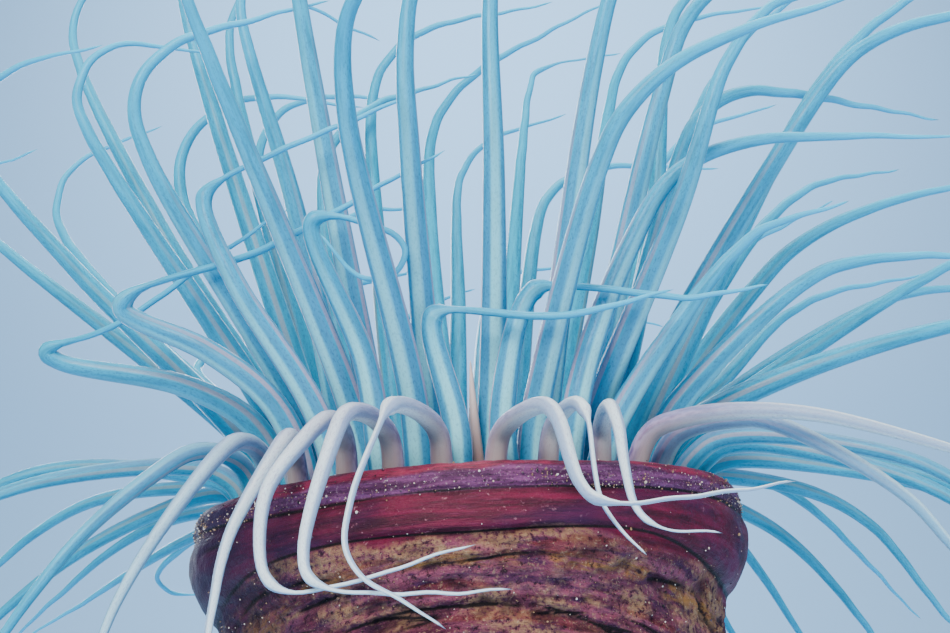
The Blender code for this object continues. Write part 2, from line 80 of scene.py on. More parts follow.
RIM_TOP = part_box("tube_lip")[1].z
LOOK_UP = math.radians(15.0)
CAMERA_DISTANCE = 280 * MM
LENS = 65.5
aim = Vector((-2.2 * MM, 0, RIM_TOP + 28.6 * MM))
backwards = Vector((0, -math.cos(LOOK_UP), -math.sin(LOOK_UP)))
camera_data = bpy.data.cameras.new("camera")
camera_data.lens = LENS
camera_data.sensor_width = 36.0
camera_data.clip_start = 0.01
camera = new_object("camera", camera_data)
camera.location = aim + backwards * CAMERA_DISTANCE
camera.rotation_euler = looking(-backwards)
bpy.context.scene.camera = camera
print("camera at", [round(c / MM, 1) for c in camera.location], "mm")


# %% Helpers for colours, nodes and materials
def linear(hex_colour):
    """An sRGB hex colour as the linear numbers that the nodes work with."""
    channels = [int(hex_colour[k:k + 2], 16) / 255 for k in (1, 3, 5)]
    return tuple(c / 12.92 if c <= 0.04045 else ((c + 0.055) / 1.055) ** 2.4 for c in channels) + (1.0,)


def feed(node, **inputs):
    """Gives a node's inputs numbers, colours or sockets to link. i0 is the first input."""
    for name, value in inputs.items():
        socket = node.inputs[int(name[1:]) if name[1:].isdigit() else name.replace("_", " ")]
        if isinstance(value, bpy.types.NodeSocket):
            node.id_data.links.new(value, socket)
        else:
            socket.default_value = value


def add_node(tree, kind, settings=None, **inputs):
    """Adds a node, sets its properties and feeds its inputs."""
    node = tree.nodes.new("ShaderNode" + kind)
    for name, value in (settings or {}).items():
        setattr(node, name, value)
    feed(node, **inputs)
    return node


# These add their nodes to the tree of their first socket.
def mixed(share, first, second):
    """A blend of two colours, each a hex colour or a socket."""
    ends = [linear(c) if isinstance(c, str) else c for c in (first, second)]
    settings = {"data_type": "RGBA"}
    return add_node(share.id_data, "Mix", settings, i0=share, i6=ends[0], i7=ends[1]).outputs[2]


def painted(base, *coats):
    """Coats laid over the base one after the other, each a share and a colour."""
    for share, colour in coats:
        base = mixed(share, base, colour)
    return base


def ranged(value, low, high, low_to=0.0, high_to=1.0):
    """A smooth step from low_to to high_to as the value goes from low to high."""
    limits = {"Value": value, "From_Min": low, "From_Max": high, "To_Min": low_to, "To_Max": high_to}
    settings = {"interpolation_type": "SMOOTHSTEP"}
    return add_node(value.id_data, "MapRange", settings, **limits).outputs[0]


def computed(operation, first, second=0.0):
    return add_node(first.id_data, "Math", {"operation": operation}, i0=first, i1=second).outputs[0]


def product(*factors):
    return reduce(lambda whole, factor: computed("MULTIPLY", whole, factor), factors)


def noise_at(where, scale, detail, roughness=0.5):
    return add_node(where.id_data, "TexNoise", Vector=where, Scale=scale, Detail=detail,
                    Roughness=roughness).outputs[0]


def stored(tree, name):
    """A number that is stored on the mesh's points."""
    return add_node(tree, "Attribute", {"attribute_name": name}).outputs["Fac"]


def new_material(name):
    material = bpy.data.materials.new(name)
    material.use_nodes = True
    return material, material.node_tree, material.node_tree.nodes["Principled BSDF"]


# %% Floor, backdrop and lamps
# The paper is long, so that its upper end stays above the picture.
PAPER_SIZE, PAPER_STRIPS = 12000 * MM, 200
BACKDROP_START, BACKDROP_BEND = 1500 * MM, 600 * MM
sweep_mesh = bmesh.new()
bmesh.ops.create_grid(sweep_mesh, x_segments=1, y_segments=PAPER_STRIPS, size=PAPER_SIZE / 2)
for vertex in sweep_mesh.verts:
    run = vertex.co.y - BACKDROP_START
    if run > 0:
        turn = min(run / BACKDROP_BEND, math.pi / 2)
        rise = max(run - BACKDROP_BEND * math.pi / 2, 0)
        vertex.co.y = BACKDROP_START + BACKDROP_BEND * math.sin(turn)
        vertex.co.z = BACKDROP_BEND * (1 - math.cos(turn)) + rise
for face in sweep_mesh.faces:
    face.smooth = True
sweep_data = bpy.data.meshes.new("studio_sweep")
sweep_mesh.to_mesh(sweep_data)
sweep_mesh.free()
sweep = new_object("studio_sweep", sweep_data)
paper, _, paper_shader = new_material("matt_backdrop_paper")
feed(paper_shader, Base_Color=linear("#a9d2f4"), Roughness=0.9)
sweep_data.materials.append(paper)


def soft_lamp(name, place, size, power, colour):
    """A square area lamp at a place in mm that points at the crown."""
    lamp = bpy.data.lights.new(name, "AREA")
    lamp.size = size * MM
    lamp.energy = power
    lamp.color = linear(colour)[:3]
    thing = new_object(name, lamp)
    thing.location = Vector(place) * MM
    thing.rotation_euler = looking(aim - thing.location)
    return thing


soft_lamp("key_lamp", (-150, -430, 430), 240, 4.4, "#fff6ee")
soft_lamp("fill_lamp", (380, -380, 240), 360, 1.5, "#f2f6ff")
soft_lamp("top_lamp", (0, 60, 640), 420, 2.8, "#ffffff")
soft_lamp("rim_lamp", (-120, 420, 330), 300, 3.2, "#e8f4ff")
# the last one shines down on the backdrop, away from the model
backdrop_lamp = soft_lamp("backdrop_lamp", (0, 1250, 1300), 900, 22.0, "#e6f3ff")
backdrop_lamp.rotation_euler = looking(Vector((0, 0.75, -0.65)))
world = bpy.data.worlds.new("studio_air")
world.use_nodes = True
feed(world.node_tree.nodes["Background"], Color=linear("#d5e4ee"), Strength=0.42)
bpy.context.scene.world = world

# %% [markdown]
# ## Where the body leans
#
# The upper half of the animal leans a few degrees. Round pieces are easiest to make upright, so
# they are made that way here and then bent over, each height by its own share of the lean.

# %% The lean
LEAN = math.radians(3.5)
LEAN_FROM, LEAN_TO = 60.0, 165.0


def ease(t):
    t = np.clip(t, 0.0, 1.0)
    return t * t * (3 - 2 * t)


def running_total(steps):
    return np.concatenate([[0], np.cumsum(steps)])


axis_height = np.linspace(0, 185, 741)
axis_angle = LEAN * ease((axis_height - LEAN_FROM) / (LEAN_TO - LEAN_FROM))
axis_step = axis_height[1] - axis_height[0]
halfway = (axis_angle[1:] + axis_angle[:-1]) / 2
axis_x = -running_total(np.sin(halfway)) * axis_step
axis_z = running_total(np.cos(halfway)) * axis_step


def leaned(points):
    """Carries upright points (rows of x, y, height in mm) over to the leaning model."""
    points = np.asarray(points, float)
    angle = np.interp(points[:, 2], axis_height, axis_angle)
    x = np.interp(points[:, 2], axis_height, axis_x) + points[:, 0] * np.cos(angle)
    z = np.interp(points[:, 2], axis_height, axis_z) + points[:, 0] * np.sin(angle)
    return np.stack([x, points[:, 1], z], axis=1)


def lean_over(bm):
    for vertex, point in zip(bm.verts, leaned([v.co for v in bm.verts])):
        vertex.co = point


CROWN_HEIGHT = 163.0
crown_middle = leaned([(0, 0, CROWN_HEIGHT)])[0]
crown_across = np.array([math.cos(LEAN), 0, math.sin(LEAN)])
crown_upward = np.array([-math.sin(LEAN), 0, math.cos(LEAN)])


def upright(points):
    """Where points near the crown lie in the upright model."""
    offset = np.asarray(points, float) - crown_middle
    return np.stack([offset @ crown_across, offset[:, 1], CROWN_HEIGHT + offset @ crown_upward], axis=1)


print("the crown's middle is moved by", round(float(crown_middle[0]), 2), "mm")

# %% [markdown]
# ## Reading the tentacles' lines
#
# Each tentacle of the frame is a thin tube of a few five-sided rings. Its line is what the skin
# needs, so the rings are walked from the tip to the root, and the middle of each is kept.
# A copy of the mesh is merged first, because the frame's meshes are loose triangles.

# %% Walk the rings
ROW_NAMES = ("outer", "second", "third", "inner")
# for each kind of tube: the sides of its rings, the longest edge at its tip, its widest radius
TENTACLE_TUBE, LABIAL_TUBE = (5, 0.43, 3.4), (4, 0.6, 1.6)


def tip_loops(bm, sides, longest):
    """The closed loops of that many short edges: the tips of the tubes."""
    short = {v: [e.other_vert(v) for e in v.link_edges if e.calc_length() < longest * MM] for v in bm.verts}
    seen, loops = set(), []
    for start in bm.verts:
        if start in seen or len(short[start]) != 2:
            continue
        loop, here = [start], short[start][0]
        while here is not start and len(short[here]) == 2 and len(loop) <= sides:
            loop.append(here)
            here = next(v for v in short[here] if v is not loop[-2])
        seen.update(loop)
        if here is start and len(loop) == sides:
            loops.append(loop)
    return loops


def tube_lines(name, sides, longest, widest):
    """The lines of a node's tubes from root to tip, in mm."""
    bm = bmesh.new()
    bm.from_mesh(nodes[name].data)
    bmesh.ops.remove_doubles(bm, verts=bm.verts, dist=0.001 * MM)
    bm.verts.index_update()
    lines = []
    for ring in tip_loops(bm, sides, longest):
        seen, line = set(), []
        while len(ring) == sides:
            ring.sort(key=lambda v: v.index)
            middle = sum((v.co for v in ring), Vector()) / sides
            if max((v.co - middle).length for v in ring) > widest * MM:
                break
            line.append(np.array(middle) / MM)
            seen.update(ring)
            ahead = {e.other_vert(v) for v in ring for e in v.link_edges} - seen
            ring = sorted(ahead, key=lambda v: ((v.co - middle).length, v.index))[:sides]
        if len(line) > 1:
            lines.append(np.array(line[::-1]))
    bm.free()
    return lines


# Each row of roots, as the frame has them: radius, height, and in stretches from the first root's
# side towards +X how many stand over how many degrees.
ROOTS = (
    (33.2, 162.6, 0.0, ((5, 64.3), (22, 205.7), (7, 90.0))),
    (28.2, 163.2, -4.0 - 180 / 22, ((22, 360.0),)),
    (23.2, 163.8, 4.0 - 180 / 18, ((18, 360.0),)),
    (18.2, 164.4, 8.0 - 180 / 16, ((16, 360.0),)),
)
ABOVE_ROOT = 1.5


def root_place(row, number):
    """The middle of a root on the crown."""
    radius, height, start, stretches = ROOTS[row]
    widths = [degrees / count for count, degrees in stretches for _ in range(count)]
    bearing = math.radians(start + sum(widths[:number]) + widths[number] / 2)
    return leaned([(radius * math.sin(bearing), -radius * math.cos(bearing), height)])[0]


tentacles = []
for name in sorted(nodes):
    if name.startswith("tentacles_"):
        row, pair = ROW_NAMES.index(name.split("_")[1]), int(name.split("_")[2])
        found = tube_lines(name, *TENTACLE_TUBE)
        roots = [root_place(row, 2 * pair - 2), root_place(row, 2 * pair - 1)]
        apart = [[np.linalg.norm(line[0] - root) for root in roots] for line in found]
        if apart[0][0] + apart[1][1] > apart[0][1] + apart[1][0]:
            roots.reverse()
        for line, root in zip(found, roots):
            clear = upright(line)[:, 2] > ROOTS[row][1] + ABOVE_ROOT
            tentacles.append({"row": row, "line": np.array([root, *line[int(np.argmax(clear)):]])})
labials = []
for name in sorted(nodes):
    if name.startswith("labial_"):
        labials += [{"row": 4, "line": line} for line in tube_lines(name, *LABIAL_TUBE)]
print("tentacles:", [sum(t["row"] == r for t in tentacles) for r in range(4)], "labial:", len(labials))
ring_counts = [len(t["line"]) for t in tentacles]
print("rings in a line: from", min(ring_counts), "to", max(ring_counts))

# %% [markdown]
# ## From a few rings to a flowing line
#
# The frame's rings stand only where its tube bends. A curve through their middles gives the
# flowing line back. It is drawn as a centripetal Catmull-Rom curve, which never overshoots at a
# sharp bend. The rings of the skin then stand closer where the line bends more, so a kink stays
# crisp without wasting faces on the straight stretches.

# %% Curves, and places along them
SPAN_POINTS = 20


def curve_through(points):
    """A smooth curve through the points."""
    p = np.vstack([2 * points[0] - points[1], points, 2 * points[-1] - points[-2]])
    pieces = []
    for a, b, c, d in zip(p, p[1:], p[2:], p[3:]):
        k1 = math.sqrt(np.linalg.norm(b - a))
        k2 = k1 + math.sqrt(np.linalg.norm(c - b))
        k3 = k2 + math.sqrt(np.linalg.norm(d - c))
        t = np.linspace(k1, k2, SPAN_POINTS, endpoint=False)[:, None]
        ab = a + (b - a) * t / k1
        bc = b + (c - b) * (t - k1) / (k2 - k1)
        cd = c + (d - c) * (t - k2) / (k3 - k2)
        abc = ab + (bc - ab) * t / k2
        bcd = bc + (cd - bc) * (t - k1) / (k3 - k1)
        pieces.append(abc + (bcd - abc) * (t - k1) / (k2 - k1))
    return np.vstack(pieces + [points[-1:]])


def lengths_along(curve):
    return running_total(np.linalg.norm(np.diff(curve, axis=0), axis=1))


def read_at(lengths, run, rows):
    """Rows of three numbers that are known along a run, read at other lengths."""
    return np.stack([np.interp(lengths, run, rows[:, k]) for k in range(3)], axis=1)


def at_lengths(curve, lengths):
    return read_at(lengths, lengths_along(curve), curve)


def tangents_of(curve):
    way = np.gradient(curve, axis=0)
    return way / np.linalg.norm(way, axis=1)[:, None]


def bend_of(curve):
    """How sharply the curve turns at each point, in radians per mm."""
    way = tangents_of(curve)
    turn = np.linalg.norm(np.gradient(way, axis=0), axis=1)
    return turn / np.maximum(np.gradient(lengths_along(curve)), 1e-6)


# %% Even curves, with the small waves of the thin ends
EVEN_POINTS, SMOOTHINGS = 400, 6
# a kink: where it may start as a share of the length, its least turn, and over how many mm
KINK_FROM, KINK_TURN, KINK_SPAN = 0.33, math.radians(42), 2.5
# the waves: height and lengths in mm, their strengths, and the shortest tentacle that has them
WAVE_HEIGHT, WAVE_LENGTHS, WAVE_STRENGTHS, WAVES_FROM = 0.16, (15.0, 7.5), (0.3, 0.8), 40
WAVES_START, WAVES_GROW = 0.5, 0.4
ANY_PHASE = (0, 6.28)
SLANTING = (0.3, 0.5, 0.81)
chance = random.Random(7)
for one in tentacles + labials:
    rough = curve_through(one["line"])
    length = lengths_along(rough)[-1]
    even = at_lengths(rough, np.linspace(0, length, EVEN_POINTS))
    for _ in range(SMOOTHINGS):
        even[1:-1] = (even[:-2] + 2 * even[1:-1] + even[2:]) / 4
    one["length"] = length
    share = np.linspace(0, 1, EVEN_POINTS)
    window = max(3, int(EVEN_POINTS * KINK_SPAN / length))
    way = tangents_of(even)
    turned_by = np.arccos(np.clip((way[2 * window:] * way[:-2 * window]).sum(1), -1, 1))
    sharpest = int(np.argmax(np.where(share[window:-window] > KINK_FROM, turned_by, 0)))
    kinked = turned_by[sharpest] > KINK_TURN and one["row"] < 4
    one["kink"] = share[sharpest + window] if kinked else None
    if one["row"] < 4 and length > WAVES_FROM:
        side = np.cross(way, SLANTING)
        side /= np.linalg.norm(side, axis=1)[:, None]
        other = np.cross(way, side)
        rise = WAVE_HEIGHT * ease((share - WAVES_START) / WAVES_GROW)
        for wave_length in WAVE_LENGTHS:
            for direction in (side, other):
                wave = np.sin(2 * math.pi * share * length / wave_length + chance.uniform(*ANY_PHASE))
                even = even + (rise * wave * chance.uniform(*WAVE_STRENGTHS))[:, None] * direction
    one["curve"] = even
print("with a sharp kink:", sum(t["kink"] is not None for t in tentacles), "of", len(tentacles))

# %% [markdown]
# ## The crown
#
# The tentacles grow side by side from a fleshy ring, and a smooth fillet leads into each. To
# get one skin with no seam, the crown starts as a flat sheet that already has a hole for every
# tentacle. A Delaunay triangulation fills the sheet between the holes, which the usual fill
# operators can't do for so many at once. The sheet is then given its heights and its lean.

# %% Holes and the sheet between them
TENTACLE_SIDES, LABIAL_SIDES = 14, 10
# for the four rows and the labial ones
ROOT_RADIUS = (1.75, 2.2, 2.3, 2.25, 0.85)
ROOT_FLARE = (0.25, 0.12, 0.12, 0.12, 0.25)
CROWN_EDGE = 35.9
YOUNG_LENGTH, YOUNG_SLIMNESS = 40.0, 0.66
# the sheet's points stand in a triangular grid, clear of the holes and of the rim
SHEET_SPACING, GRID_ROWS, HOLE_CLEAR, RIM_CLEAR = 1.05, 0.866, 0.45, 0.5
EXTRA_LABIAL_RADIUS, EXTRA_LABIAL_LENGTH = 1.19, 0.82

pitch = math.pi / len(labials)
for one in list(labials):
    turn = np.array([[math.cos(pitch), -math.sin(pitch)], [math.sin(pitch), math.cos(pitch)]])
    raised = upright(one["curve"])
    raised[:, :2] = raised[:, :2] @ turn.T
    raised[:, :2] += raised[0, :2] * (EXTRA_LABIAL_RADIUS - 1)
    raised = raised[0] + (raised - raised[0]) * EXTRA_LABIAL_LENGTH
    labials.append({**one, "curve": leaned(raised), "length": one["length"] * EXTRA_LABIAL_LENGTH})
feelers = tentacles + labials


def open_edges(bm):
    return sum(e.is_boundary for e in bm.edges)


def ring_angles(count):
    return 2 * math.pi * np.arange(count) / count


for one in feelers:
    one["root"] = upright(one["curve"][:1])[0]
    one["sides"] = LABIAL_SIDES if one["row"] == 4 else TENTACLE_SIDES
    one["slim"] = YOUNG_SLIMNESS if one["row"] == 2 and one["length"] < YOUNG_LENGTH else 1.0
    one["hole"] = ROOT_RADIUS[one["row"]] * one["slim"] + ROOT_FLARE[one["row"]]

sheet_points, loops = [], []


def add_loop(middle, radius, count):
    angles = ring_angles(count)
    first = len(sheet_points)
    sheet_points.extend(zip(middle[0] + radius * np.cos(angles), middle[1] + radius * np.sin(angles)))
    loops.append([first + k for k in range(count)])


for one in feelers:
    add_loop(one["root"], one["hole"], one["sides"])
RIM_SIDES = 180
add_loop((0, 0), CROWN_EDGE, RIM_SIDES)
hole_middles = np.array([one["root"][:2] for one in feelers])
hole_radii = np.array([one["hole"] for one in feelers])


def to_nearest_hole(x, y):
    """How far places are from the edge of the nearest hole, in mm."""
    return (np.hypot(hole_middles[:, 0] - x, hole_middles[:, 1] - y) - hole_radii).min(axis=-1)


steps = int(CROWN_EDGE / SHEET_SPACING) + 1
for i in range(-steps, steps + 1):
    for j in range(-steps, steps + 1):
        x, y = (i + 0.5 * (j % 2)) * SHEET_SPACING, j * SHEET_SPACING * GRID_ROWS
        inside = math.hypot(x, y) < CROWN_EDGE - RIM_CLEAR * SHEET_SPACING
        if inside and to_nearest_hole(x, y) > HOLE_CLEAR * SHEET_SPACING:
            sheet_points.append((x, y))
borders = [(loop[k], loop[(k + 1) % len(loop)]) for loop in loops for k in range(len(loop))]
triangulated = delaunay_2d_cdt([Vector(p) for p in sheet_points], borders, [], 1, 1e-5)
owner = {v: number for number, loop in enumerate(loops[:-1]) for v in loop}
crown = bmesh.new()
flat = [crown.verts.new((*p, 0)) for p in triangulated[0]]
print("no point was added or dropped:", len(triangulated[0]) == len(sheet_points))
for corners in triangulated[2]:
    owners = {owner.get(c) for c in corners}
    if None in owners or len(owners) > 1:
        crown.faces.new([flat[c] for c in corners])
crown.verts.ensure_lookup_table()


def relax_sheet():
    """Evens out the sheet and keeps its borders where they are."""
    loose = [v for v in crown.verts if not v.is_boundary]
    bmesh.ops.smooth_vert(crown, verts=loose, factor=0.5, use_axis_x=True, use_axis_y=True, use_axis_z=True)


for _ in range(3):
    relax_sheet()
print("sheet:", len(crown.verts), "points,", len(crown.faces), "faces,",
      open_edges(crown), "border edges of", len(borders))

# %% Heights of the crown
# radius and height of the crown's surface: mouth, disc, labial ring, the four rows and the rim
CROWN_RADII = (0.0, 7.6, 11.7, 15.5, 18.2, 23.2, 28.2, 33.2, CROWN_EDGE)
CROWN_HEIGHTS = (161.0, 161.3, 162.0, 162.9, 164.4, 163.8, 163.2, 162.6, 161.6)
CLEFTS_FROM, CLEFT_DEPTH, DISC_CLEFT_DEPTH, CLEFT_REACH = 15.5, 1.3, 0.4, 0.9
MOUTH_HALF_LENGTH, MOUTH_HALF_WIDTH, MOUTH_DEPTH, LIP_SWELL = 4.25, 1.3, 2.6, 0.5

place = np.array([v.co[:2] for v in crown.verts])
radius = np.hypot(place[:, 0], place[:, 1])
to_hole = to_nearest_hole(place[:, :1], place[:, 1:])
height = np.interp(radius, CROWN_RADII, CROWN_HEIGHTS)
cleft = np.where(radius > CLEFTS_FROM, CLEFT_DEPTH, DISC_CLEFT_DEPTH) * ease((radius - 8) / 4)
height -= cleft * (1 - np.exp(-(np.maximum(to_hole, 0) / CLEFT_REACH) ** 2))
mouth = np.hypot(place[:, 0] / MOUTH_HALF_LENGTH, place[:, 1] / MOUTH_HALF_WIDTH)
height += LIP_SWELL * np.exp(-((mouth - 1.5) / 0.5) ** 2) - MOUTH_DEPTH * ease((1.2 - mouth) / 1.2)
for number, loop in enumerate(loops[:-1]):
    height[loop] = feelers[number]["root"][2]
for vertex, h in zip(crown.verts, height):
    vertex.co.z = h
relax_sheet()

# %% [markdown]
# ## The body inside the tube
#
# The crown's rim turns down and becomes the smooth column of the body, which ends in a blunt
# point deep in the tube. The rim's loop of edges is extruded ring by ring, like a sleeve.

# %% Extrude the column
# radius and height of its rings, from the rim down
COLUMN = (
    (35.9, 160.3), (35.6, 158.4), (35.0, 156.0), (34.2, 152.0), (33.8, 140.0), (33.6, 90.0), (32.9, 50.0),
    (32.0, 30.0), (29.5, 20.0), (26.0, 14.0), (21.0, 10.6), (15.0, 8.6), (7.0, 8.1),
)
rim = {crown.verts[v] for v in loops[-1]}
ring_edges = [e for e in crown.edges if e.is_boundary and e.verts[0] in rim]
for column_radius, column_height in COLUMN:
    made = bmesh.ops.extrude_edge_only(crown, edges=ring_edges)["geom"]
    ring_edges = [g for g in made if isinstance(g, bmesh.types.BMEdge) and g.is_boundary]
    for vertex in {v for e in ring_edges for v in e.verts}:
        out = column_radius / math.hypot(vertex.co.x, vertex.co.y)
        vertex.co = (vertex.co.x * out, vertex.co.y * out, column_height)
foot_pole = bmesh.ops.contextual_create(crown, geom=ring_edges)
bmesh.ops.poke(crown, faces=foot_pole["faces"])
lean_over(crown)
print("crown and column:", len(crown.verts), "points, open borders left:", open_edges(crown))

# %% [markdown]
# ## Growing the tentacles
#
# One straight open tube with the right number of rings is the pattern for all of them. Each
# copy is bent along its own line: a ring goes to its place along the line, square to it, and
# turns as little as possible from one ring to the next. The first ring lies exactly on the
# edge of its hole, so merging the doubles joins it to the crown.

# %% Rings along a line
TENTACLE_RINGS, LABIAL_RINGS = 60, 12
# the share of the thickness that is gone at the tip, and how late it goes, for each row
TAPER, TAPER_POWER, LABIAL_TAPER = 0.93, (1.05, 1.3, 1.3, 1.3), 0.6
# past a kink: how much thinner it is and over what share; the knob on it and the knob's share
KINK_NARROWS, KINK_LENGTH = 0.68, 0.05
KNOB, KNOB_LENGTH = 0.10, 0.012
FLARE_LENGTH, STRAIGHT_ROOT = 1.0, 3.0
# how strongly rings gather at bends and at the root
BEND_PULL, BEND_SCALE, BEND_MOST = 5, 3, 1.6
ROOT_PULL, ROOT_REACH = 3, 3


def pattern_tube(sides, rings):
    """An open tube along Z, with where each of its points lies around and along it."""
    bm = bmesh.new()
    bmesh.ops.create_cone(bm, cap_ends=False, segments=sides, radius1=1, radius2=1, depth=1)
    upright_edges = [e for e in bm.edges if abs(e.verts[0].co.z - e.verts[1].co.z) > 0.5]
    bmesh.ops.subdivide_edges(bm, edges=upright_edges, cuts=rings - 1, use_grid_fill=True)
    mesh = bpy.data.meshes.new("pattern_tube")
    bm.to_mesh(mesh)
    bm.free()
    co = np.array([v.co for v in mesh.vertices])
    turns = np.arctan2(co[:, 1], co[:, 0]) / (2 * math.pi) * sides
    around = np.round(turns - turns[0]).astype(int) % sides
    along = np.round((co[:, 2] + 0.5) * rings).astype(int)
    return mesh, around, along, rings


def ring_places(one, count):
    """Lengths along the curve at which the rings stand, closer where it bends more."""
    run = lengths_along(one["curve"])
    weight = 1 + BEND_PULL * np.minimum(bend_of(one["curve"]) * BEND_SCALE, BEND_MOST)
    weight += ROOT_PULL * np.exp(-(run / ROOT_REACH) ** 2)
    passed = running_total((weight[1:] + weight[:-1]) / 2 * np.diff(run))
    return np.interp(np.linspace(0, passed[-1], count), passed, run)


def radius_along(one, places):
    """Half the thickness: an even taper that narrows past a sharp kink, with a rounded tip."""
    share = places / one["length"]
    if one["row"] == 4:
        size = ROOT_RADIUS[4] * (1 - LABIAL_TAPER * share)
    else:
        size = ROOT_RADIUS[one["row"]] * one["slim"] * (1 - TAPER * share ** TAPER_POWER[one["row"]])
    if one["kink"]:
        past = share - one["kink"]
        narrow = KINK_NARROWS * ease(past / KINK_LENGTH) * np.clip(1 - past / (1 - one["kink"]), 0, 1)
        size = size * (1 - narrow) * (1 + KNOB * np.exp(-(past / KNOB_LENGTH) ** 2))
    size += ROOT_FLARE[one["row"]] * np.exp(-places / FLARE_LENGTH)
    to_tip = (places[-1] - places) / size[-1]
    return size * np.sqrt(np.clip(1 - (1 - np.minimum(to_tip, 1)) ** 2, 0, 1))


def frames_along(curve, places):
    """At each ring: its middle, and two directions across the line that never twist."""
    middles = at_lengths(curve, places)
    ways = read_at(places, lengths_along(curve), tangents_of(curve))
    from_root = ease(places / STRAIGHT_ROOT)[:, None]
    ways = crown_upward * (1 - from_root) + ways * from_root
    ways /= np.linalg.norm(ways, axis=1)[:, None]
    sides, side = [], crown_across
    for way in ways:
        side = side - way * (side @ way)
        side = side / np.linalg.norm(side)
        sides.append(side)
    sides = np.array(sides)
    return middles, sides, np.cross(ways, sides)


# %% Bend a copy of the pattern along every line
patterns = {TENTACLE_SIDES: pattern_tube(TENTACLE_SIDES, TENTACLE_RINGS),
            LABIAL_SIDES: pattern_tube(LABIAL_SIDES, LABIAL_RINGS)}
flesh = crown
# What the flesh's colours go by: how far along the tentacle, how far round it from its inner side
# (a cosine and a sine), its row, its bearing (front 1, back -1; right 1, left -1), a chance number,
# the length from the root, whether it is a young one, and how much it belongs to the crown's disc.
LAYERS = ("along", "oral", "flank", "row", "front", "right", "tint", "length_mm", "young", "disc")
layer = {name: flesh.verts.layers.float.new(name) for name in LAYERS}
for vertex in flesh.verts:
    bearing = math.atan2(vertex.co.x - crown_middle[0], -vertex.co.y)
    vertex[layer["front"]], vertex[layer["right"]] = math.cos(bearing), math.sin(bearing)
    vertex[layer["row"]], vertex[layer["tint"]], vertex[layer["disc"]] = 2, 0.5, 1
tint_chance = random.Random(3)
for one in feelers:
    mesh, around, along, rings = patterns[one["sides"]]
    places = ring_places(one, rings + 1)
    middles, across, other = frames_along(one["curve"], places)
    size = radius_along(one, places)
    angle = ring_angles(one["sides"])[around]
    spoke = np.cos(angle)[:, None] * across[along] + np.sin(angle)[:, None] * other[along]
    points = middles[along] + size[along][:, None] * spoke
    mesh.vertices.foreach_set("co", points.ravel())
    first = len(flesh.verts)
    flesh.from_mesh(mesh)
    flesh.verts.ensure_lookup_table()
    bearing = math.atan2(one["root"][0], -one["root"][1])
    inward = np.array([-math.sin(bearing), math.cos(bearing), 0.0])
    inner_angle = math.atan2(inward @ other[0], inward @ across[0])
    columns = (places[along] / one["length"], np.cos(angle - inner_angle), np.sin(angle - inner_angle),
               one["row"], math.cos(bearing), math.sin(bearing), tint_chance.random(), places[along],
               one["slim"] < 1, 0)
    for name, column in zip(LAYERS, columns):
        values = np.broadcast_to(column, len(points)).astype(float)
        for vertex, value in zip(flesh.verts[first:], values.tolist()):
            vertex[layer[name]] = value
before = len(flesh.verts)
bmesh.ops.remove_doubles(flesh, verts=flesh.verts, dist=0.01)
print("merged", before - len(flesh.verts), "doubles; open borders left:", open_edges(flesh))


# %% Make the flesh an object
def finished(bm, name, material):
    """Turns millimetres to metres and makes a smooth object that rides on the body."""
    bmesh.ops.scale(bm, vec=(MM, MM, MM), verts=bm.verts)
    bmesh.ops.recalc_face_normals(bm, faces=bm.faces)
    # the faces' order differs from run to run, so they are sorted by their points
    bm.verts.index_update()
    for number, face in enumerate(sorted(bm.faces, key=lambda face: sorted(v.index for v in face.verts))):
        face.index = number
        face.smooth = True
    bm.faces.sort()
    mesh = bpy.data.meshes.new(name)
    bm.to_mesh(mesh)
    bm.free()
    mesh.materials.append(material)
    thing = new_object(name, mesh)
    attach(thing, "root")
    print(name, "has", sum(len(p.vertices) - 2 for p in mesh.polygons), "triangles")
    return thing


# %% The flesh's material
# the radius that turns a share of the way round into mm
SURFACE_RADIUS = 2.2
skin_material, skin, skin_shader = new_material("translucent_tentacle_flesh")
along, oral, flank, row, front, right, tint, length_mm, young, disc = (
    stored(skin, name)
    for name in ("along", "oral", "flank", "row", "front", "right", "tint", "length_mm", "young", "disc"))


def on_the_tentacle(stretch):
    """A place on the tentacle's own surface: round it in mm, and along it in mm times stretch."""
    x, y = (product(part, SURFACE_RADIUS) for part in (oral, flank))
    run = computed("ADD", product(length_mm, stretch), product(tint, 97.0))
    return add_node(skin, "CombineXYZ", X=x, Y=y, Z=run).outputs[0]


streaky, speckled = on_the_tentacle(0.16), on_the_tentacle(0.55)
facing = computed("ABSOLUTE", oral)
in_front = ranged(front, -0.2, 0.85)
outermost = ranged(row, 0.6, 0.4)
# the left side, where painted shade darkens the turquoise
shaded_left = ranged(right, 0.1, -0.8)
low_down = ranged(along, 0.66, 0.2)

# the body colour: deep turquoise at the back, milky blue in front, and a little darker on the left as
# painted shade
deep = mixed(shaded_left, "#00a4c4", "#009cbc")
milky = mixed(ranged(tint, 0.0, 1.0), "#009cc6", "#1ea6cc")
streak = ranged(noise_at(streaky, 1.1, 3.0), 0.42, 0.66)
milk = ranged(noise_at(streaky, 0.5, 2.0), 0.45, 0.7)
# a pale stripe runs along the middle of both faces, the shoulders beside it are grey blue and speckled
axis = product(ranged(facing, 0.80, 0.97), low_down, ranged(in_front, 0.0, 1.0, 0.35, 0.85))
shoulders = product(ranged(facing, 0.95, 0.80), ranged(facing, 0.22, 0.50))
shaded = product(shoulders, low_down, ranged(in_front, 0.0, 1.0, 0.25, 0.65))
# the sides get a beige to lavender line: painted rim light of the thin translucent edges
painted_rim_line = product(ranged(facing, 0.30, 0.14), low_down, 0.75)
